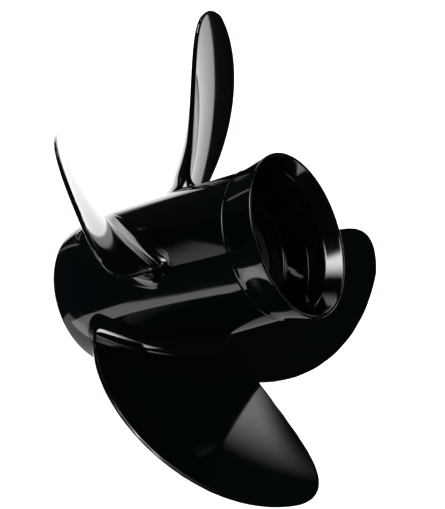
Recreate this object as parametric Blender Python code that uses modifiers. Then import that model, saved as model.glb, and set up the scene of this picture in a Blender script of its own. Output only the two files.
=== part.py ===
"""Four-blade outboard propeller with its exhaust through the hub.

It stands on its front rim. The shaft axis is Z, with the aft end up, and the blades turn clockwise seen from aft.
"""

import math

import bmesh
import bpy

MM = 0.001

# Overall sizes, in millimetres
TIP_RADIUS = 177.8
LENGTH = 183.0
GAP = 0.3
SEGMENTS = 72

# Barrel: a cone that narrows aft, with a steeper, rounded nose in front
BARREL_FRONT_RADIUS = 58.2
BARREL_AFT_RADIUS = 53.8
NOSE_LENGTH = 23.5
NOSE_SLOPE = 0.06
NOSE_CURVE = 0.0058
NOSE_ROUNDING = 4.0
NOSE_STEPS = 8
RIM_BEVEL = 0.8
FRONT_BORE_RADIUS = 47.6
BARREL_BORE_RADIUS = 52.4
BORE_TAPER_HEIGHT = 26.0
AFT_BORE_RADIUS = 50.9

# Diffuser ring: a plain band that flares out to the aft rim
RING_LENGTH = 25.7
RING_FRONT_RADIUS = 54.6
RING_RIM_RADIUS = 58.5
RING_WAIST_LENGTH = 4.0
RING_FLARE_CURVE = 0.35
RING_BEAD = 0.9
FLARE_DEPTH = 11.6
FLARE_BORE_RADIUS = 51.7
RIM_WIDTH = 1.2
FLARE_STEPS = 6

# Inner hub and the ribs that carry it
HUB_RADIUS = 36.3
HUB_BORE_RADIUS = 32.3
HUB_FRONT = 12.0
HUB_AFT = 148.1
HUB_CHAMFER = 0.8
RIB_COUNT = 4
RIB_THICKNESS = 4.6
RIB_FRONT = 30.0
RIB_ANGLE = 10.0
RIB_END_GAP = 0.4

# Rubber bush and splined sleeve
BUSH_FRONT = 24.0
BUSH_AFT = 136.5
SLEEVE_RADIUS = 19.0
SLEEVE_FRONT = 16.0
SLEEVE_AFT = 139.5
SPLINE_COUNT = 15
SPLINE_INNER_RADIUS = 13.6
SPLINE_OUTER_RADIUS = 15.3

# Blades. Each edge is a cubic curve from the root to the tip: (degrees round the shaft, height)
BLADE_COUNT = 4
LEADING_EDGE = ((-25, 30), (-16, 52), (0, 110))
TRAILING_EDGE = ((40, 103), (40, 131), (48, 160))
TIP_POINT = (28, 145)
ROOT_THICKNESS = 14.0
TIP_THICKNESS = 3.4
THINNING_POWER = 2.5
AFT_SHARE = 0.1
BOW_RATIO = 0.006
FILLET_RADIUS = 12.0
FILLET_END_SHARE = 0.4
FILLET_STEPS = 5
SPAN_STEPS = 20
CHORD_STEPS = 18
LAST_SPAN = 0.99
ROOT_SINK = 2.5


def clear_scene():
    for obj in list(bpy.data.objects):
        bpy.data.objects.remove(obj, do_unlink=True)


def new_collection(name):
    collection = bpy.data.collections.new(name)
    bpy.context.scene.collection.children.link(collection)
    return collection


def material(name, color, roughness, metallic):
    made = bpy.data.materials.new(name)
    made.use_nodes = True
    shader = made.node_tree.nodes["Principled BSDF"]
    shader.inputs["Base Color"].default_value = (*color, 1.0)
    shader.inputs["Roughness"].default_value = roughness
    shader.inputs["Metallic"].default_value = metallic
    made.diffuse_color = (*color, 1.0)
    return made


def add_object(name, mesh, made_of, collection):
    obj = bpy.data.objects.new(name, mesh)
    collection.objects.link(obj)
    if made_of and not mesh.materials:
        mesh.materials.append(made_of)
    return obj


def turned(name, outline, made_of, collection, closed=True):
    """An outline of (radius, height), down its outer side and up its bore, turned round the shaft."""
    mesh = bpy.data.meshes.new(name)
    shape = bmesh.new()
    points = [shape.verts.new((radius * MM, 0.0, height * MM)) for radius, height in outline]
    ends = points[1:] + points[:1] if closed else points[1:]
    for start, end in zip(points, ends):
        shape.edges.new((start, end))
    shape.to_mesh(mesh)
    shape.free()
    obj = add_object(name, mesh, made_of, collection)
    screw = obj.modifiers.new("Turn", "SCREW")
    screw.axis = "Z"
    screw.steps = SEGMENTS
    screw.render_steps = SEGMENTS
    screw.use_merge_vertices = True
    screw.merge_threshold = 0.00001
    screw.use_smooth_shade = True
    return obj


def make_cutter(cutter):
    cutter.hide_render = True
    cutter.display_type = "WIRE"
    return cutter


def cut(obj, cutter):
    boolean = obj.modifiers.new("Cut", "BOOLEAN")
    boolean.operation = "DIFFERENCE"
    boolean.solver = "EXACT"
    boolean.object = cutter


def barrel_radius(height):
    """The barrel's outer radius at a height: its cone, less the nose's slope and curve near the front."""
    along = height / (LENGTH - RING_LENGTH)
    cone = BARREL_FRONT_RADIUS + (BARREL_AFT_RADIUS - BARREL_FRONT_RADIUS) * along
    short = max(0.0, NOSE_LENGTH - height)
    return cone - NOSE_SLOPE * short - NOSE_CURVE * short**2


def nose_points():
    """(radius, height) from the nose's aft end down to its rounded front edge."""
    points = []
    for step in range(NOSE_STEPS, -1, -1):
        height = NOSE_LENGTH * (1 - math.cos(math.pi / 2 * step / NOSE_STEPS))
        short = max(0.0, NOSE_ROUNDING - height)
        rounding = NOSE_ROUNDING - math.sqrt(NOSE_ROUNDING**2 - short**2)
        points.append((barrel_radius(height) - rounding, height))
    return points


def barrel_outline():
    top = LENGTH - RING_LENGTH - GAP
    outer = [(barrel_radius(top) - RIM_BEVEL, top), (barrel_radius(top - RIM_BEVEL), top - RIM_BEVEL)]
    bore = [(FRONT_BORE_RADIUS, 0.0), (BARREL_BORE_RADIUS, BORE_TAPER_HEIGHT), (AFT_BORE_RADIUS, top)]
    return outer + nose_points() + bore


def ring_radius(height):
    """The ring's outer radius: a waist at the front, then a slight S curve out to the rim."""
    start = LENGTH - RING_LENGTH + RING_WAIST_LENGTH
    along = max(0.0, (height - start) / (LENGTH - start))
    bend = along**2 * (3 - 2 * along) - along
    return RING_FRONT_RADIUS + (RING_RIM_RADIUS - RING_FRONT_RADIUS) * (along + RING_FLARE_CURVE * bend)


def ring_outline():
    front = LENGTH - RING_LENGTH
    outer = [(RING_RIM_RADIUS, LENGTH)]
    for step in range(FLARE_STEPS - 1, -1, -1):
        height = front + RING_WAIST_LENGTH + (RING_LENGTH - RING_WAIST_LENGTH) * step / FLARE_STEPS
        outer.append((ring_radius(height), height))
    outer.append((RING_FRONT_RADIUS, front + RING_BEAD))
    outer.append((RING_FRONT_RADIUS - RING_BEAD, front))
    bore = [(AFT_BORE_RADIUS, front), (FLARE_BORE_RADIUS, LENGTH - FLARE_DEPTH)]
    bore.append((RING_RIM_RADIUS - RIM_WIDTH, LENGTH))
    return outer + bore


def hub_outline():
    inner = HUB_BORE_RADIUS
    outer = HUB_RADIUS
    chamfer = HUB_CHAMFER
    return [
        (outer - chamfer, HUB_AFT),
        (outer, HUB_AFT - chamfer),
        (outer, HUB_FRONT + chamfer),
        (outer - chamfer, HUB_FRONT),
        (inner + chamfer, HUB_FRONT),
        (inner, HUB_FRONT + chamfer),
        (inner, HUB_AFT - chamfer),
        (inner + chamfer, HUB_AFT),
    ]


def bush_outline():
    outer = HUB_BORE_RADIUS - GAP
    inner = SLEEVE_RADIUS + GAP
    return [(outer, BUSH_AFT), (outer, BUSH_FRONT), (inner, BUSH_FRONT), (inner, BUSH_AFT)]


def bore_radius(height):
    """The barrel's inner radius behind the front taper."""
    top = LENGTH - RING_LENGTH - GAP
    along = (height - BORE_TAPER_HEIGHT) / (top - BORE_TAPER_HEIGHT)
    return BARREL_BORE_RADIUS + (AFT_BORE_RADIUS - BARREL_BORE_RADIUS) * along


def rib_mesh():
    """One rib along +X: a cube whose outer side follows the barrel's bore."""
    mesh = bpy.data.meshes.new("rib")
    shape = bmesh.new()
    bmesh.ops.create_cube(shape, size=1.0)
    for vert in shape.verts:
        height = HUB_AFT if vert.co.z > 0 else RIB_FRONT
        outer = bore_radius(height) - RIB_END_GAP
        inner = HUB_RADIUS + RIB_END_GAP
        radius = outer if vert.co.x > 0 else inner
        side = math.copysign(RIB_THICKNESS / 2, vert.co.y)
        vert.co = (radius * MM, side * MM, height * MM)
    shape.to_mesh(mesh)
    shape.free()
    return mesh


def ribs(made_of, collection):
    mesh = rib_mesh()
    for index in range(RIB_COUNT):
        rib = add_object(f"rib_{index + 1}", mesh, made_of, collection)
        rib.rotation_euler.z = math.radians(RIB_ANGLE + 360.0 * index / RIB_COUNT)


def spline_cutter(collection):
    """A toothed bar for the sleeve's bore: every tooth has a flat crest and a flat root."""
    mesh = bpy.data.meshes.new("spline_cutter")
    shape = bmesh.new()
    points = []
    for corner in range(4 * SPLINE_COUNT):
        radius = SPLINE_INNER_RADIUS if corner % 4 < 2 else SPLINE_OUTER_RADIUS
        angle = 2 * math.pi * corner / (4 * SPLINE_COUNT)
        points.append(shape.verts.new((radius * math.cos(angle) * MM, radius * math.sin(angle) * MM, 0.0)))
    made = bmesh.ops.extrude_face_region(shape, geom=[shape.faces.new(points)])
    top = [item for item in made["geom"] if isinstance(item, bmesh.types.BMVert)]
    bmesh.ops.translate(shape, verts=top, vec=(0.0, 0.0, LENGTH * MM))
    bmesh.ops.recalc_face_normals(shape, faces=shape.faces)
    shape.to_mesh(mesh)
    shape.free()
    return make_cutter(add_object("spline_cutter", mesh, None, collection))


def sleeve(made_of, collection, cutter):
    mesh = bpy.data.meshes.new("spline_sleeve")
    shape = bmesh.new()
    length = SLEEVE_AFT - SLEEVE_FRONT
    bmesh.ops.create_cone(
        shape,
        cap_ends=True,
        segments=4 * SPLINE_COUNT,
        radius1=SLEEVE_RADIUS * MM,
        radius2=SLEEVE_RADIUS * MM,
        depth=length * MM,
    )
    shape.to_mesh(mesh)
    shape.free()
    made = add_object("spline_sleeve", mesh, made_of, collection)
    made.location.z = (SLEEVE_FRONT + length / 2) * MM
    cut(made, cutter)


def edge_point(control, along):
    """(degrees, height) on a cubic curve from an edge's root to the tip."""
    points = control + (TIP_POINT,)
    back = 1.0 - along
    weights = (back**3, 3 * back**2 * along, 3 * back * along**2, along**3)
    angle = sum(weight * point[0] for weight, point in zip(weights, points))
    height = sum(weight * point[1] for weight, point in zip(weights, points))
    return math.radians(angle), height


def blade_rows():
    """(share of the span, fillet width) for each section, from inside the barrel to the tip."""
    reach = TIP_RADIUS - barrel_radius(LEADING_EDGE[0][1])
    rows = [(2 / math.pi * math.asin(-ROOT_SINK / reach), FILLET_RADIUS)]
    for step in range(FILLET_STEPS):
        turn = math.pi / 2 * step / FILLET_STEPS
        rise = FILLET_RADIUS * (1 - math.cos(turn))
        rows.append((2 / math.pi * math.asin(rise / reach), FILLET_RADIUS * (1 - math.sin(turn))))
    start = 2 / math.pi * math.asin(FILLET_RADIUS / reach)
    for step in range(SPAN_STEPS + 1):
        rows.append((start + (LAST_SPAN - start) * step / SPAN_STEPS, 0.0))
    return rows


def section(shape, along, widen):
    """One closed section, round the shaft at one share of the span, wider by the fillet at the root."""
    lead_angle, lead_height = edge_point(LEADING_EDGE, along)
    trail_angle, trail_height = edge_point(TRAILING_EDGE, along)
    middle_angle = (lead_angle + trail_angle) / 2
    middle_height = (lead_height + trail_height) / 2
    rise = math.sin(along * math.pi / 2)
    base = barrel_radius(middle_height)
    middle_radius = base + (TIP_RADIUS - base) * rise
    run = middle_radius * (trail_angle - lead_angle)
    climb = trail_height - lead_height
    chord = math.hypot(run, climb)
    thickness = TIP_THICKNESS + (ROOT_THICKNESS - TIP_THICKNESS) * (1 - max(0.0, along)) ** THINNING_POWER
    points = []
    for step in range(2 * CHORD_STEPS):
        turn = math.pi * step / CHORD_STEPS
        on_chord = -math.cos(turn) * (chord / 2 + widen * FILLET_END_SHARE)
        share = AFT_SHARE if step < CHORD_STEPS else 1 - AFT_SHARE
        half = TIP_THICKNESS / 2 + share * (thickness - TIP_THICKNESS)
        bow = BOW_RATIO * chord * math.sin(turn) ** 2
        aside = math.sin(turn) * (half + widen) + bow
        angle = middle_angle + (on_chord * run / chord - aside * climb / chord) / middle_radius
        height = middle_height + on_chord * climb / chord + aside * run / chord
        foot = barrel_radius(height)
        radius = foot + (TIP_RADIUS - foot) * rise
        place = (radius * math.cos(angle) * MM, radius * math.sin(angle) * MM, height * MM)
        points.append(shape.verts.new(place))
    return points


def blade_mesh():
    mesh = bpy.data.meshes.new("blade")
    shape = bmesh.new()
    sections = [section(shape, along, widen) for along, widen in blade_rows()]
    for lower, upper in zip(sections, sections[1:]):
        for index in range(len(lower)):
            after = (index + 1) % len(lower)
            shape.faces.new((lower[index], lower[after], upper[after], upper[index]))
    shape.faces.new(sections[0])
    shape.faces.new(sections[-1])
    bmesh.ops.recalc_face_normals(shape, faces=shape.faces)
    shape.to_mesh(mesh)
    shape.free()
    mesh.shade_smooth()
    return mesh


def root_cutter(collection):
    """The barrel's outer shape, one gap larger, which trims every blade's root."""
    outline = [(barrel_radius(LENGTH), LENGTH)] + nose_points()
    larger = [(radius + GAP, height) for radius, height in outline]
    closed = [(0.0, LENGTH)] + larger + [(0.0, 0.0)]
    return make_cutter(turned("root_cutter", closed, None, collection, closed=False))


def blades(made_of, collection, cutter):
    mesh = blade_mesh()
    for index in range(BLADE_COUNT):
        blade = add_object(f"blade_{index + 1}", mesh, made_of, collection)
        blade.rotation_euler.z = 2 * math.pi * index / BLADE_COUNT
        cut(blade, cutter)


def main():
    clear_scene()
    parts = new_collection("outboard_propeller")
    cutters = new_collection("cutters")
    paint = material("gloss_black_paint", (0.006, 0.006, 0.007), 0.08, 0.0)
    rubber = material("black_rubber", (0.015, 0.015, 0.015), 0.75, 0.0)
    brass = material("brass", (0.62, 0.42, 0.17), 0.32, 1.0)
    turned("barrel", barrel_outline(), paint, parts)
    turned("diffuser_ring", ring_outline(), paint, parts)
    turned("inner_hub", hub_outline(), paint, parts)
    ribs(paint, parts)
    turned("rubber_bush", bush_outline(), rubber, parts)
    sleeve(brass, parts, spline_cutter(cutters))
    blades(paint, parts, root_cutter(cutters))


main()
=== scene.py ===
"""Looks of the outboard propeller: finer castings, gloss black paint, a plain studio and the camera."""

import math

import bmesh
import bpy
from mathutils import Matrix, Vector
from mathutils.kdtree import KDTree


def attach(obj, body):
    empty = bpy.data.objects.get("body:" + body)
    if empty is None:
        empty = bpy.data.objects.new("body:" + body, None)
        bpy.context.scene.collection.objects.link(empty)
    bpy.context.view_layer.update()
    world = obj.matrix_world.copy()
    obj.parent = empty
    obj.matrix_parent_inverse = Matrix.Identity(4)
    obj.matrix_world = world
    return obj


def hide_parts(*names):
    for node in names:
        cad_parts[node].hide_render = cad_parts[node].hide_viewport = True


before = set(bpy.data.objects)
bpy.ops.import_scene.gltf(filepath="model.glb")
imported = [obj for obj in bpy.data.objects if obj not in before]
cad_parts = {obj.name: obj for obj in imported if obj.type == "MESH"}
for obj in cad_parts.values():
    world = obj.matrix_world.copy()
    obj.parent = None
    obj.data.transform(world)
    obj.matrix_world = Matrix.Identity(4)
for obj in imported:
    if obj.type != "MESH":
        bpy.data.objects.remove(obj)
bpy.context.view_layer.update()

MM = 0.001
BODY = "root"

# The castings' sizes, as the CAD model has them, in millimetres
LENGTH = 183.0
TIP_RADIUS = 177.6
BARREL_FRONT_RADIUS = 58.2
BARREL_AFT_RADIUS = 53.8
NOSE_LENGTH = 23.5
NOSE_SLOPE = 0.06
NOSE_CURVE = 0.0058
NOSE_ROUNDING = 4.0
NOSE_STEP = 0.6
FRONT_BORE_RADIUS = 47.6
BARREL_BORE_RADIUS = 52.4
BORE_TAPER_HEIGHT = 26.0
AFT_BORE_RADIUS = 50.9
RING_LENGTH = 25.7
RING_FRONT_RADIUS = 54.6
RING_RIM_RADIUS = 58.5
RING_WAIST_LENGTH = 4.0
RING_FLARE_CURVE = 0.35
FLARE_DEPTH = 11.6
FLARE_BORE_RADIUS = 51.7
FLARE_LIP = 0.5
RIM_WIDTH = 2.0
HUB_RADIUS = 36.3
HUB_BORE_RADIUS = 32.3
HUB_FRONT = 12.0
HUB_AFT = 148.1
RIB_THICKNESS = 4.6
RIB_FRONT = 30.0
RIB_ANGLE = 10.0
RIB_COUNT = 4
RIB_FILLET = 3.5
RIB_SINK = 0.4
BUSH_FRONT = 24.0
BUSH_AFT = 136.5
SLEEVE_RADIUS = 19.0
SLEEVE_FRONT = 16.0
SLEEVE_AFT = 139.5
SPLINE_COUNT = 15
SPLINE_INNER_RADIUS = 13.6
SPLINE_OUTER_RADIUS = 15.3
SPLINE_FLANK = 0.16
GAP = 0.3

# The blades' edges: cubic curves through (degrees round the shaft, height), from the root to the tip
LEADING_EDGE = ((-25, 30), (-16, 52), (0, 110))
TRAILING_EDGE = ((40, 103), (40, 131), (48, 160))
TIP_POINT = (28, 145)
ROOT_THICKNESS = 14.0
TIP_THICKNESS = 3.4
THINNING_POWER = 2.5
BOW_RATIO = 0.006
AFT_SHARE = 0.1
FILLET_RADIUS = 12.0
FILLET_END_SHARE = 0.4
BLADE_COUNT = 4

# How finely each shape is made, and its smallest sizes in millimetres
TURN_STEPS = 256
NOSE_STEPS = 28
FLARE_STEPS = 14
CORNER_SEGMENTS = 4
HOLDING_DISTANCE = 0.5
EDGE_RADIUS = 1.7
EDGE_REACH = 2.5
EDGE_REACH_SHARE = 0.35
EDGE_STEPS = 6
FACE_STEPS = 26
BODY_POWER = 0.75
FILLET_STEPS = 14
SPAN_STEPS = 56
TIP_STEPS = 8
TIP_SPAN = 0.93
LAST_SPAN = 0.9995
SHORTEST_CHORD = 0.0001
ROOT_SINK = 0.6
OUTLINE_POINTS = 400
RIB_OUTLINE_STEPS = 24
RIB_EDGE_RADIUS = 1.2
STEPS_PER_SPLINE = 16
SLEEVE_CHAMFER = 1.0
CHAMFER_SEGMENTS = 2
MERGE_DISTANCE = 0.001
LEVEL_TOLERANCE = 0.01
SHARP_DEGREES = 40

# The roundings of the turned pieces' corners, in millimetres
BARREL_AFT_ROUNDING = 0.7
NOSE_STEP_ROUNDING = 0.4
FRONT_RIM_ROUNDING = 1.0
BORE_BEND_ROUNDING = 3.0
BARREL_BORE_ROUNDING = 0.3
RING_RIM_ROUNDING = 0.9
RING_WAIST_ROUNDING = 0.6
RING_FRONT_ROUNDING = 0.9
LIP_ROUNDING = 0.4
LIP_FOOT_ROUNDING = 0.2
HUB_ROUNDING = 0.8
BUSH_OUTER_ROUNDING = 2.0
BUSH_INNER_ROUNDING = 0.8

# The finishes: colours, roughness from and to, (scale, detail) of each noise, and depths in millimetres
PAINT_COLOUR = (0.0006, 0.0016, 0.002)
PAINT_ROUGHNESS = (0.045, 0.075)
PAINT_PATCHES = (60.0, 6.0)
CASTING_NOISE = (45.0, 1.0)
CASTING_DEPTH = 0.02
PEEL_NOISE = (900.0, 2.0)
PEEL_DEPTH = 0.0008
RUBBER_COLOUR = (0.003, 0.003, 0.003)
RUBBER_ROUGHNESS = (0.55, 0.8)
RUBBER_PATCHES = (90.0, 5.0)
BLOOM_COLOUR = (0.009, 0.009, 0.0085)
BLOOM_PATCHES = (40.0, 6.0)
GRAIN_NOISE = (1600.0, 3.0)
GRAIN_DEPTH = 0.02
BRASS_COLOUR = (0.3, 0.2, 0.08)
BRASS_ROUGHNESS = (0.22, 0.42)
BRASS_PATCHES = (150.0, 5.0)
TARNISH_COLOUR = (0.12, 0.075, 0.03)
TARNISH_PATCHES = (70.0, 6.0)
TARNISH_START = 0.45
TARNISH_END = 0.8
TURNING_NOISE = (2200.0, 1.0)
TURNING_DEPTH = 0.01
FLOOR_COLOUR = (0.9, 0.9, 0.9)
FLOOR_ROUGHNESS = 0.9
FLOOR_NOISE = (400.0, 4.0)
FLOOR_DEPTH = 0.02
FLOOR_SIZE = 6.0
FLOOR_GLOW = 1.0
WHITE = (1.0, 1.0, 1.0, 1.0)
DARK_ROOM = (0.015, 0.015, 0.015, 1.0)

# The studio's lights stand at one distance, in metres. Each softbox has its azimuth, elevation, width and
# height in degrees, its glow, its turn, and the share that its left, right, lower and upper side fade over
LIGHT_DISTANCE = 2.5
SOFTBOXES = (
    ("backdrop_light", 4.0, 10.0, 68.0, 54.0, 1.6, 0.0, (0.02, 0.02, 0.02, 0.3)),
    ("backdrop_top_light", 2.0, 46.0, 40.0, 60.0, 3.2, 0.0, (0.05, 0.05, 0.75, 0.1)),
    ("overhead_softbox", -169.0, 44.0, 26.0, 64.0, 17.0, 14.0, (0.08, 0.08, 0.5, 0.45)),
    ("right_softbox", 122.0, 50.0, 38.0, 22.0, 3.5, 0.0, (0.6, 0.05, 0.3, 0.1)),
    ("left_table_light", -97.0, -47.0, 27.0, 28.0, 2.2, 0.0, (0.03, 0.03, 0.03, 0.03)),
    ("front_table_light", -56.0, -41.0, 58.0, 28.0, 0.9, 0.0, (0.03, 0.03, 0.03, 0.03)),
    ("right_table_light", 85.0, -60.0, 38.0, 16.0, 2.6, 0.0, (0.1, 0.5, 0.1, 0.1)),
    ("low_backdrop_light", 2.0, -35.0, 14.0, 40.0, 0.35, 0.0, (0.1, 0.1, 0.1, 0.1)),
    ("strip_light", -50.0, 26.0, 3.0, 42.0, 0.9, -48.0, (0.3, 0.3, 0.8, 0.05)),
)

# The camera, solved from the photograph: degrees, millimetres and pixels of its 445 by 509 frame
CAMERA_TURN = 43.8
CAMERA_ELEVATION = 33.305
CAMERA_ROLL = 72.983
CAMERA_DISTANCE = 818.02
CAMERA_RIGHT = 20.468
CAMERA_UP = 8.805
TARGET_HEIGHT = 91.445
FOCAL_PIXELS = 1129.27
FRAME_HEIGHT_PIXELS = 509
SENSOR = 36.0
CLIP_START = 10.0


def finished(name, shape, paint, *nodes):
    """Turns a bmesh into a piece that stands for CAD nodes and takes a material."""
    bmesh.ops.remove_doubles(shape, verts=shape.verts, dist=MERGE_DISTANCE * MM)
    bmesh.ops.recalc_face_normals(shape, faces=shape.faces)
    mesh = bpy.data.meshes.new(name)
    shape.to_mesh(mesh)
    shape.free()
    mesh.shade_smooth()
    mesh.set_sharp_from_angle(angle=math.radians(SHARP_DEGREES))
    mesh.materials.append(paint)
    piece = bpy.data.objects.new(name, mesh)
    bpy.context.scene.collection.objects.link(piece)
    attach(piece, BODY)
    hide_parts(*nodes)


def rounded(shape, geom, size, segments, affect):
    """Bevels corners or edges by a size in millimetres."""
    bmesh.ops.bevel(
        shape,
        geom=geom,
        offset=size * MM,
        offset_type="OFFSET",
        segments=segments,
        profile=0.5,
        affect=affect,
        material=-1,
    )


def is_level(edge):
    """Whether both ends of an edge are at one height."""
    return abs(edge.verts[0].co.z - edge.verts[1].co.z) < LEVEL_TOLERANCE * MM


def barrel_radius(height):
    """The barrel's outer radius: its cone, less the nose's slope and curve near the front."""
    along = height / (LENGTH - RING_LENGTH)
    cone = BARREL_FRONT_RADIUS + (BARREL_AFT_RADIUS - BARREL_FRONT_RADIUS) * along
    short = max(0.0, NOSE_LENGTH - height)
    return cone - NOSE_SLOPE * short - NOSE_CURVE * short**2


def ring_radius(height):
    """The ring's outer radius: a waist at the front, then a slight S curve out to the rim."""
    start = LENGTH - RING_LENGTH + RING_WAIST_LENGTH
    along = max(0.0, (height - start) / (LENGTH - start))
    bend = along**2 * (3 - 2 * along) - along
    return RING_FRONT_RADIUS + (RING_RIM_RADIUS - RING_FRONT_RADIUS) * (along + RING_FLARE_CURVE * bend)


def turned(outline, corners):
    """An outline of (radius, height) turned round the shaft. corners maps a point's index to its rounding."""
    shape = bmesh.new()
    points = [shape.verts.new((radius * MM, 0.0, height * MM)) for radius, height in outline]
    for start, end in zip(points, points[1:] + points[:1]):
        shape.edges.new((start, end))
    for index, radius in corners.items():
        hold(points[index], (radius + HOLDING_DISTANCE) * MM)
        rounded(shape, [points[index]], radius, CORNER_SEGMENTS, "VERTICES")
    bmesh.ops.spin(
        shape,
        geom=list(shape.verts) + list(shape.edges),
        cent=(0.0, 0.0, 0.0),
        axis=(0.0, 0.0, 1.0),
        angle=2 * math.pi,
        steps=TURN_STEPS,
        use_merge=True,
    )
    return shape


def hold(corner, distance):
    """Cuts each long edge at a corner close to it, so that the flat beside a rounding stays flat."""
    for edge in list(corner.link_edges):
        length = edge.calc_length()
        if length > 2 * distance:
            bmesh.utils.edge_split(edge, corner, distance / length)


def barrel(paint):
    top = LENGTH - RING_LENGTH - GAP
    outline = [(barrel_radius(top), top), (barrel_radius(NOSE_LENGTH), NOSE_LENGTH)]
    for step in range(NOSE_STEPS, -1, -1):
        height = (NOSE_LENGTH - NOSE_STEP) * (1 - math.cos(math.pi / 2 * step / NOSE_STEPS))
        short = max(0.0, NOSE_ROUNDING - height)
        rounding = NOSE_ROUNDING - math.sqrt(NOSE_ROUNDING**2 - short**2)
        outline.append((barrel_radius(height) - NOSE_STEP - rounding, height))
    front = len(outline)
    outline += [(FRONT_BORE_RADIUS, 0.0), (BARREL_BORE_RADIUS, BORE_TAPER_HEIGHT), (AFT_BORE_RADIUS, top)]
    corners = {
        0: BARREL_AFT_ROUNDING,
        1: NOSE_STEP_ROUNDING,
        front: FRONT_RIM_ROUNDING,
        front + 1: BORE_BEND_ROUNDING,
        front + 2: BARREL_BORE_ROUNDING,
    }
    finished("barrel_casting", turned(outline, corners), paint, "barrel")


def diffuser_ring(paint):
    front = LENGTH - RING_LENGTH
    outline = [(RING_RIM_RADIUS, LENGTH)]
    for step in range(FLARE_STEPS - 1, -1, -1):
        height = front + RING_WAIST_LENGTH + (RING_LENGTH - RING_WAIST_LENGTH) * step / FLARE_STEPS
        outline.append((ring_radius(height), height))
    outline.append((RING_FRONT_RADIUS, front))
    seam = len(outline) - 1
    flare = LENGTH - FLARE_DEPTH
    outline += [(AFT_BORE_RADIUS, front), (FLARE_BORE_RADIUS, flare - 2 * FLARE_LIP)]
    outline += [(FLARE_BORE_RADIUS - FLARE_LIP, flare - FLARE_LIP), (FLARE_BORE_RADIUS, flare)]
    outline.append((RING_RIM_RADIUS - RIM_WIDTH, LENGTH))
    corners = {
        0: RING_RIM_ROUNDING,
        seam - 1: RING_WAIST_ROUNDING,
        seam: RING_FRONT_ROUNDING,
        seam + 2: LIP_FOOT_ROUNDING,
        seam + 3: LIP_ROUNDING,
        seam + 4: LIP_FOOT_ROUNDING,
        seam + 5: RING_RIM_ROUNDING,
    }
    finished("diffuser_ring_casting", turned(outline, corners), paint, "diffuser_ring")


def inner_hub(paint):
    outline = [
        (HUB_RADIUS, HUB_AFT),
        (HUB_RADIUS, HUB_FRONT),
        (HUB_BORE_RADIUS, HUB_FRONT),
        (HUB_BORE_RADIUS, HUB_AFT),
    ]
    corners = {index: HUB_ROUNDING for index in range(len(outline))}
    finished("inner_hub_casting", turned(outline, corners), paint, "inner_hub")


def edge_point(control, along):
    """(radians, height) on a cubic curve from an edge's root to the tip."""
    points = control + (TIP_POINT,)
    back = 1.0 - along
    weights = (back**3, 3 * back**2 * along, 3 * back * along**2, along**3)
    angle = sum(weight * point[0] for weight, point in zip(weights, points))
    height = sum(weight * point[1] for weight, point in zip(weights, points))
    return math.radians(angle), height


def span_rise(along):
    return math.sin(along * math.pi / 2)


def span_share(rise):
    """The share of the span at which the blade has risen so many millimetres from the barrel."""
    reach = TIP_RADIUS - barrel_radius(LEADING_EDGE[0][1])
    return 2 / math.pi * math.asin(rise / reach)


def on_blade(along, across, aside):
    """A point of the blade: along its span, across its chord from -1 to 1, aside in millimetres."""
    lead_angle, lead_height = edge_point(LEADING_EDGE, along)
    trail_angle, trail_height = edge_point(TRAILING_EDGE, along)
    middle_angle = (lead_angle + trail_angle) / 2
    middle_height = (lead_height + trail_height) / 2
    base = barrel_radius(middle_height)
    middle_radius = base + (TIP_RADIUS - base) * span_rise(along)
    run = middle_radius * (trail_angle - lead_angle)
    climb = trail_height - lead_height
    chord = max(math.hypot(run, climb), SHORTEST_CHORD)
    on_chord = across * chord / 2
    angle = middle_angle + (on_chord * run / chord - aside * climb / chord) / middle_radius
    height = middle_height + on_chord * climb / chord + aside * run / chord
    foot = barrel_radius(height)
    radius = foot + (TIP_RADIUS - foot) * span_rise(along)
    return Vector((radius * math.cos(angle), radius * math.sin(angle), height)), chord


def outline_tree():
    """The blade's whole edge as points, to tell how far a place on the blade is from it."""
    tree = KDTree(2 * OUTLINE_POINTS)
    for index in range(OUTLINE_POINTS):
        along = index / (OUTLINE_POINTS - 1)
        for side, across in enumerate((-1, 1)):
            tree.insert(on_blade(along, across, 0.0)[0], 2 * index + side)
    tree.balance()
    return tree


def blade_rows():
    """(share of the span, fillet width) of each section, from just inside the barrel to the tip."""
    rows = [(span_share(-ROOT_SINK), FILLET_RADIUS + 2 * ROOT_SINK)]
    for step in range(FILLET_STEPS):
        turn = math.pi / 2 * step / FILLET_STEPS
        rows.append((span_share(FILLET_RADIUS * (1 - math.cos(turn))), FILLET_RADIUS * (1 - math.sin(turn))))
    start = span_share(FILLET_RADIUS)
    for step in range(SPAN_STEPS):
        rows.append((start + (TIP_SPAN - start) * step / SPAN_STEPS, 0.0))
    for step in range(TIP_STEPS):
        rows.append((TIP_SPAN + (1 - TIP_SPAN) * step / TIP_STEPS, 0.0))
    rows.append((LAST_SPAN, 0.0))
    return rows


def chord_places(chord):
    """(across, turn of the edge's rounding) for half a section, from the leading to the trailing edge."""
    reach = min(EDGE_REACH * EDGE_RADIUS, EDGE_REACH_SHARE * chord) / (chord / 2)
    places = []
    for step in range(EDGE_STEPS):
        turn = math.pi / 2 * step / EDGE_STEPS
        places.append((-1 + reach * (1 - math.cos(turn)), turn))
    for step in range(FACE_STEPS + 1):
        share = step / FACE_STEPS
        places.append(((-1 + reach) * (1 - 2 * share), math.pi / 2))
    for step in range(EDGE_STEPS - 1, 0, -1):
        turn = math.pi / 2 * step / EDGE_STEPS
        places.append((1 - reach * (1 - math.cos(turn)), math.pi - turn))
    places.append((1.0, math.pi))
    return places


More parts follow.
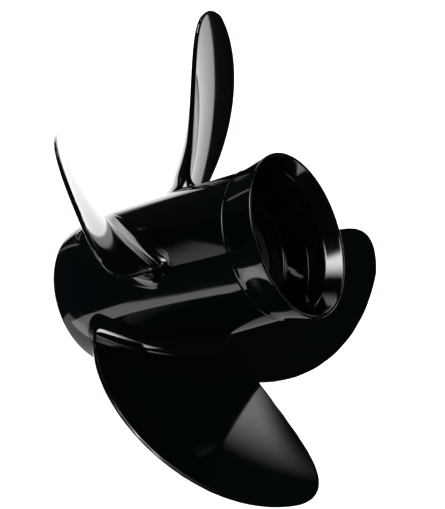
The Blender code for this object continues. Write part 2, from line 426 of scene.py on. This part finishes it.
def side_thickness(along, across, distance, share):
    """How far one side of the blade stands off its middle surface: its rounded edge, and its body's share."""
    thickness = TIP_THICKNESS + (ROOT_THICKNESS - TIP_THICKNESS) * (1 - max(0.0, along)) ** THINNING_POWER
    short = max(0.0, 1.0 - distance / EDGE_RADIUS)
    edge = EDGE_RADIUS * math.sqrt(1 - short**2)
    return edge + share * max(0.0, thickness - 2 * EDGE_RADIUS) * (1 - across**2) ** BODY_POWER


def blade_section(along, widen, tree):
    """One closed section's points: up the aft side from the leading edge, and back down the front side."""
    chord = on_blade(along, 0.0, 0.0)[1]
    places = chord_places(chord)
    sides = []
    for side, share in ((1, AFT_SHARE), (-1, 1 - AFT_SHARE)):
        points = []
        for across, turn in places:
            distance = tree.find(on_blade(along, across, 0.0)[0])[2]
            half = side_thickness(along, across, distance, share)
            bow = BOW_RATIO * chord * (1 - across**2)
            wider = across - math.cos(turn) * FILLET_END_SHARE * widen / (chord / 2)
            aside = side * (half + math.sin(turn) * widen) + bow
            points.append(on_blade(along, wider, aside)[0])
        sides.append(points)
    return sides[0] + sides[1][-2:0:-1]


def blade_shape():
    """A capped tube, cut into rows, whose rings become the blade's sections."""
    tree = outline_tree()
    rows = blade_rows()
    sections = [blade_section(along, widen, tree) for along, widen in rows]
    around = len(sections[0])
    shape = bmesh.new()
    bmesh.ops.create_cone(shape, cap_ends=True, segments=around, radius1=1.0, radius2=1.0, depth=1.0)
    upright = [edge for edge in shape.edges if not is_level(edge)]
    bmesh.ops.subdivide_edges(shape, edges=upright, cuts=len(rows) - 2, use_grid_fill=True)
    for vert in shape.verts:
        row = round((vert.co.z + 0.5) * (len(rows) - 1))
        place = round(math.atan2(vert.co.y, vert.co.x) / (2 * math.pi) * around) % around
        vert.co = sections[row][place] * MM
    return shape


def blades(paint):
    first = blade_shape()
    for index in range(BLADE_COUNT):
        shape = first.copy()
        turn = Matrix.Rotation(2 * math.pi * index / BLADE_COUNT, 3, "Z")
        bmesh.ops.rotate(shape, verts=shape.verts, cent=(0.0, 0.0, 0.0), matrix=turn)
        finished(f"blade_casting_{index + 1}", shape, paint, f"blade_{index + 1}")
    first.free()


def bore_radius(height):
    """The barrel's inner radius behind its front taper."""
    top = LENGTH - RING_LENGTH - GAP
    along = (height - BORE_TAPER_HEIGHT) / (top - BORE_TAPER_HEIGHT)
    return BARREL_BORE_RADIUS + (AFT_BORE_RADIUS - BARREL_BORE_RADIUS) * along


def rib_outline():
    """A rib's outline across the shaft: a web that widens into both walls."""
    inner = HUB_RADIUS - RIB_SINK
    outer = bore_radius(RIB_FRONT) + RIB_SINK
    sides = []
    for step in range(RIB_OUTLINE_STEPS + 1):
        share = (1 - math.cos(math.pi * step / RIB_OUTLINE_STEPS)) / 2
        radius = inner + (outer - inner) * share
        near = max(0.0, 1 - (min(radius - inner, outer - radius) / RIB_FILLET))
        side = RIB_THICKNESS / 2 + RIB_FILLET * (1 - math.sqrt(1 - near**2))
        sides.append((math.sqrt(radius**2 - side**2), side))
    return sides + [(along, -side) for along, side in reversed(sides)]


def ribs(paint):
    for index in range(RIB_COUNT):
        shape = bmesh.new()
        front = [shape.verts.new((x * MM, y * MM, RIB_FRONT * MM)) for x, y in rib_outline()]
        made = bmesh.ops.extrude_face_region(shape, geom=[shape.faces.new(front)])
        aft = [item for item in made["geom"] if isinstance(item, bmesh.types.BMVert)]
        for vert in aft:
            vert.co.z = HUB_AFT * MM
        ends = [edge for edge in shape.edges if is_level(edge)]
        rounded(shape, ends, RIB_EDGE_RADIUS, CORNER_SEGMENTS, "EDGES")
        turn = Matrix.Rotation(math.radians(RIB_ANGLE) + 2 * math.pi * index / RIB_COUNT, 3, "Z")
        bmesh.ops.rotate(shape, verts=shape.verts, cent=(0.0, 0.0, 0.0), matrix=turn)
        finished(f"rib_casting_{index + 1}", shape, paint, f"rib_{index + 1}")


def rubber_bush(rubber):
    outer = HUB_BORE_RADIUS - GAP
    inner = SLEEVE_RADIUS + GAP
    outline = [(outer, BUSH_AFT), (outer, BUSH_FRONT), (inner, BUSH_FRONT), (inner, BUSH_AFT)]
    corners = {0: BUSH_OUTER_ROUNDING, 1: BUSH_OUTER_ROUNDING, 2: BUSH_INNER_ROUNDING, 3: BUSH_INNER_ROUNDING}
    finished("rubber_bush_moulding", turned(outline, corners), rubber, "rubber_bush")


def spline_radius(share):
    """The bore's radius at a share of one tooth's turn: a flat crest and root, joined by sloping flanks."""
    rise = (abs(2 * (share % 1.0) - 1) - 0.5) / SPLINE_FLANK
    return SPLINE_INNER_RADIUS + (SPLINE_OUTER_RADIUS - SPLINE_INNER_RADIUS) * min(1.0, max(0.0, 0.5 + rise))


def spline_sleeve(brass):
    around = SPLINE_COUNT * STEPS_PER_SPLINE
    shape = bmesh.new()
    loops = []
    for radius in (SLEEVE_RADIUS, SPLINE_INNER_RADIUS):
        loops.append(bmesh.ops.create_circle(shape, segments=around, radius=radius * MM)["verts"])
    for vert in loops[1]:
        share = math.atan2(vert.co.y, vert.co.x) / (2 * math.pi) * SPLINE_COUNT
        vert.co *= spline_radius(share) / SPLINE_INNER_RADIUS
    annulus = bmesh.ops.bridge_loops(shape, edges=shape.edges)["faces"]
    made = bmesh.ops.extrude_face_region(shape, geom=annulus)
    aft = [item for item in made["geom"] if isinstance(item, bmesh.types.BMVert)]
    bmesh.ops.translate(shape, verts=aft, vec=(0.0, 0.0, (SLEEVE_AFT - SLEEVE_FRONT) * MM))
    bmesh.ops.translate(shape, verts=shape.verts, vec=(0.0, 0.0, SLEEVE_FRONT * MM))
    rims = [edge for edge in shape.edges if is_level(edge) and is_outside(edge)]
    rounded(shape, rims, SLEEVE_CHAMFER, CHAMFER_SEGMENTS, "EDGES")
    finished("spline_sleeve_turning", shape, brass, "spline_sleeve")


def is_outside(edge):
    """Whether an edge of the sleeve lies on its outside."""
    wall_middle = (SLEEVE_RADIUS + SPLINE_OUTER_RADIUS) / 2
    return all(vert.co.xy.length > wall_middle * MM for vert in edge.verts)


def new_material(name, colour, roughness, metallic=0.0):
    """A material with its shader, nodes and links at hand."""
    made = bpy.data.materials.new(name)
    made["slot"] = name
    made.use_nodes = True
    nodes = made.node_tree.nodes
    shader = nodes["Principled BSDF"]
    shader.inputs["Base Color"].default_value = colour + (1.0,)
    shader.inputs["Roughness"].default_value = roughness
    shader.inputs["Metallic"].default_value = metallic
    place = nodes.new("ShaderNodeTexCoord").outputs["Object"]
    return made, shader, nodes, made.node_tree.links, place


def noise(nodes, links, place, scale, detail):
    made = nodes.new("ShaderNodeTexNoise")
    made.inputs["Scale"].default_value = scale
    made.inputs["Detail"].default_value = detail
    links.new(place, made.inputs["Vector"])
    return made.outputs["Fac"]


def spread(nodes, links, value, low, high, start=0.3, end=0.7):
    """Maps a noise's middle range on to low and high."""
    made = nodes.new("ShaderNodeMapRange")
    made.inputs["From Min"].default_value = start
    made.inputs["From Max"].default_value = end
    made.inputs["To Min"].default_value = low
    made.inputs["To Max"].default_value = high
    links.new(value, made.inputs["Value"])
    return made.outputs["Result"]


def bump(nodes, links, value, depth, under=None):
    """A bump of a depth in millimetres, over another one."""
    made = nodes.new("ShaderNodeBump")
    made.inputs["Strength"].default_value = 1.0
    made.inputs["Distance"].default_value = depth * MM
    links.new(value, made.inputs["Height"])
    if under:
        links.new(under, made.inputs["Normal"])
    return made.outputs["Normal"]


def patchy(nodes, links, share, colour, other_colour):
    """A colour that turns into another one by a share."""
    made = nodes.new("ShaderNodeMix")
    made.data_type = "RGBA"
    made.inputs["A"].default_value = colour + (1.0,)
    made.inputs["B"].default_value = other_colour + (1.0,)
    links.new(share, made.inputs["Factor"])
    return made.outputs["Result"]


def gloss_black_paint():
    """Gloss black over a casting: faintly uneven under fine orange peel, its roughness varying a little."""
    paint, shader, nodes, links, place = new_material("gloss_black_paint", PAINT_COLOUR, PAINT_ROUGHNESS[0])
    casting = bump(nodes, links, noise(nodes, links, place, *CASTING_NOISE), CASTING_DEPTH)
    peel = bump(nodes, links, noise(nodes, links, place, *PEEL_NOISE), PEEL_DEPTH, casting)
    patches = noise(nodes, links, place, *PAINT_PATCHES)
    links.new(peel, shader.inputs["Normal"])
    links.new(spread(nodes, links, patches, *PAINT_ROUGHNESS), shader.inputs["Roughness"])
    return paint


def black_rubber():
    """Moulded rubber: matt, with fine grain and a greyer bloom here and there."""
    rubber, shader, nodes, links, place = new_material("black_rubber", RUBBER_COLOUR, RUBBER_ROUGHNESS[0])
    grain = noise(nodes, links, place, *GRAIN_NOISE)
    patches = noise(nodes, links, place, *RUBBER_PATCHES)
    bloom = spread(nodes, links, noise(nodes, links, place, *BLOOM_PATCHES), 0.0, 1.0)
    links.new(bump(nodes, links, grain, GRAIN_DEPTH), shader.inputs["Normal"])
    links.new(spread(nodes, links, patches, *RUBBER_ROUGHNESS), shader.inputs["Roughness"])
    links.new(patchy(nodes, links, bloom, RUBBER_COLOUR, BLOOM_COLOUR), shader.inputs["Base Color"])
    return rubber


def round_shaft(nodes, links, place):
    """A place as its distance from the shaft's line and its height, for rings left by the tool."""
    apart = nodes.new("ShaderNodeSeparateXYZ")
    links.new(place, apart.inputs["Vector"])
    flat = nodes.new("ShaderNodeVectorMath")
    flat.operation = "MULTIPLY"
    flat.inputs[1].default_value = (1.0, 1.0, 0.0)
    links.new(place, flat.inputs[0])
    radius = nodes.new("ShaderNodeVectorMath")
    radius.operation = "LENGTH"
    links.new(flat.outputs["Vector"], radius.inputs[0])
    ring = nodes.new("ShaderNodeCombineXYZ")
    links.new(radius.outputs["Value"], ring.inputs["X"])
    links.new(apart.outputs["Z"], ring.inputs["Z"])
    return ring.outputs["Vector"]


def machined_brass():
    """Turned brass: rings from the tool round the shaft, and a duller tarnish in patches."""
    brass, shader, nodes, links, place = new_material("brass", BRASS_COLOUR, BRASS_ROUGHNESS[0], metallic=1.0)
    turning = noise(nodes, links, round_shaft(nodes, links, place), *TURNING_NOISE)
    patches = noise(nodes, links, place, *BRASS_PATCHES)
    dull = noise(nodes, links, place, *TARNISH_PATCHES)
    tarnish = spread(nodes, links, dull, 0.0, 1.0, TARNISH_START, TARNISH_END)
    links.new(bump(nodes, links, turning, TURNING_DEPTH), shader.inputs["Normal"])
    links.new(spread(nodes, links, patches, *BRASS_ROUGHNESS), shader.inputs["Roughness"])
    links.new(patchy(nodes, links, tarnish, BRASS_COLOUR, TARNISH_COLOUR), shader.inputs["Base Color"])
    return brass


def camera_axes():
    """The picture's right and up, and the way back to the camera, as the object stands."""
    elevation = math.radians(CAMERA_ELEVATION)
    roll = math.radians(CAMERA_ROLL)
    back = Vector((0.0, -math.cos(elevation), math.sin(elevation)))
    level = Vector((1.0, 0.0, 0.0))
    rise = Vector((0.0, math.sin(elevation), math.cos(elevation)))
    right = level * math.cos(roll) + rise * math.sin(roll)
    up = rise * math.cos(roll) - level * math.sin(roll)
    turn = Matrix.Rotation(math.radians(CAMERA_TURN), 3, "Z")
    return turn @ right, turn @ up, turn @ back


def softbox(name, azimuth, elevation, wide, tall, glow, turn, fades):
    """A studio light. Its azimuth runs from straight behind the object towards the picture's right."""
    right, up, back = camera_axes()
    side = math.radians(azimuth)
    rise = math.radians(elevation)
    outward = math.cos(rise) * (math.sin(side) * right - math.cos(side) * back) + math.sin(rise) * up
    across = up.cross(outward).normalized()
    tilt = Matrix.Rotation(math.radians(turn), 3, outward)
    columns = (tilt @ across, tilt @ outward.cross(across), outward)
    lamp = bpy.data.lights.new(name, "AREA")
    lamp.shape = "RECTANGLE"
    lamp.size = 2 * LIGHT_DISTANCE * math.tan(math.radians(wide / 2))
    lamp.size_y = 2 * LIGHT_DISTANCE * math.tan(math.radians(tall / 2))
    lamp.energy = math.pi * glow * lamp.size * lamp.size_y
    soften(lamp, fades)
    light = bpy.data.objects.new(name, lamp)
    matrix = Matrix(columns).transposed().to_4x4()
    matrix.translation = outward * LIGHT_DISTANCE + Vector((0.0, 0.0, TARGET_HEIGHT * MM))
    light.matrix_world = matrix
    light.visible_camera = False
    light.visible_diffuse = False
    bpy.context.scene.collection.objects.link(light)


def soften(lamp, fades):
    """Fades a light in from each side, by a share of its size: from its left, right, lower and upper edge."""
    lamp.use_nodes = True
    nodes = lamp.node_tree.nodes
    links = lamp.node_tree.links
    apart = nodes.new("ShaderNodeSeparateXYZ")
    links.new(nodes.new("ShaderNodeNewGeometry").outputs["Parametric"], apart.inputs["Vector"])
    left, right, lower, upper = fades
    total = None
    sides = (("X", 1.0, 1.0 - left), ("X", 0.0, right), ("Y", 0.0, lower), ("Y", 1.0, 1.0 - upper))
    for axis, edge, inside in sides:
        fade = nodes.new("ShaderNodeMapRange")
        fade.interpolation_type = "SMOOTHSTEP"
        fade.inputs["From Min"].default_value = edge
        fade.inputs["From Max"].default_value = inside
        links.new(apart.outputs[axis], fade.inputs["Value"])
        if total:
            times = nodes.new("ShaderNodeMath")
            times.operation = "MULTIPLY"
            links.new(total, times.inputs[0])
            links.new(fade.outputs["Result"], times.inputs[1])
            total = times.outputs["Value"]
        else:
            total = fade.outputs["Result"]
    links.new(total, nodes["Emission"].inputs["Strength"])


def studio():
    """White all round for the eye and for matt surfaces, dark in the gloss but for the softboxes."""
    scene = bpy.context.scene
    scene.view_settings.view_transform = "Standard"
    world = bpy.data.worlds.new("studio")
    scene.world = world
    world.use_nodes = True
    nodes = world.node_tree.nodes
    links = world.node_tree.links
    white = nodes["Background"]
    white.inputs["Color"].default_value = WHITE
    dark = nodes.new("ShaderNodeBackground")
    dark.inputs["Color"].default_value = DARK_ROOM
    choice = nodes.new("ShaderNodeMixShader")
    links.new(nodes.new("ShaderNodeLightPath").outputs["Is Glossy Ray"], choice.inputs["Fac"])
    links.new(white.outputs["Background"], choice.inputs[1])
    links.new(dark.outputs["Background"], choice.inputs[2])
    links.new(choice.outputs["Shader"], nodes["World Output"].inputs["Surface"])
    for settings in SOFTBOXES:
        softbox(*settings)


def studio_floor():
    """The plain pale floor that the front rim stands on. Reflections and shadows pass through it."""
    shape = bmesh.new()
    bmesh.ops.create_grid(shape, x_segments=1, y_segments=1, size=FLOOR_SIZE)
    mesh = bpy.data.meshes.new("studio_floor")
    shape.to_mesh(mesh)
    shape.free()
    paper, shader, nodes, links, place = new_material("pale_floor", FLOOR_COLOUR, FLOOR_ROUGHNESS)
    grain = noise(nodes, links, place, *FLOOR_NOISE)
    links.new(bump(nodes, links, grain, FLOOR_DEPTH), shader.inputs["Normal"])
    shader.inputs["Specular IOR Level"].default_value = 0.0
    shader.inputs["Emission Color"].default_value = WHITE
    shader.inputs["Emission Strength"].default_value = FLOOR_GLOW
    mesh.materials.append(paper)
    floor = bpy.data.objects.new("studio_floor", mesh)
    bpy.context.scene.collection.objects.link(floor)
    floor.visible_glossy = False
    floor.visible_shadow = False


def photograph_camera():
    """The camera, rolled so that the shaft lies across the picture."""
    right, up, back = camera_axes()
    target = Vector((0.0, 0.0, TARGET_HEIGHT))
    place = target + right * CAMERA_RIGHT + up * CAMERA_UP + back * CAMERA_DISTANCE
    camera = bpy.data.objects.new("photograph_camera", bpy.data.cameras.new("photograph_camera"))
    matrix = Matrix((right, up, back)).transposed().to_4x4()
    matrix.translation = place * MM
    camera.matrix_world = matrix
    camera.data.sensor_width = SENSOR
    camera.data.lens = FOCAL_PIXELS * SENSOR / FRAME_HEIGHT_PIXELS
    camera.data.clip_start = CLIP_START * MM
    bpy.context.scene.collection.objects.link(camera)
    bpy.context.scene.camera = camera


def main():
    paint = gloss_black_paint()
    barrel(paint)
    diffuser_ring(paint)
    inner_hub(paint)
    ribs(paint)
    blades(paint)
    rubber_bush(black_rubber())
    spline_sleeve(machined_brass())
    studio_floor()
    studio()
    photograph_camera()


main()
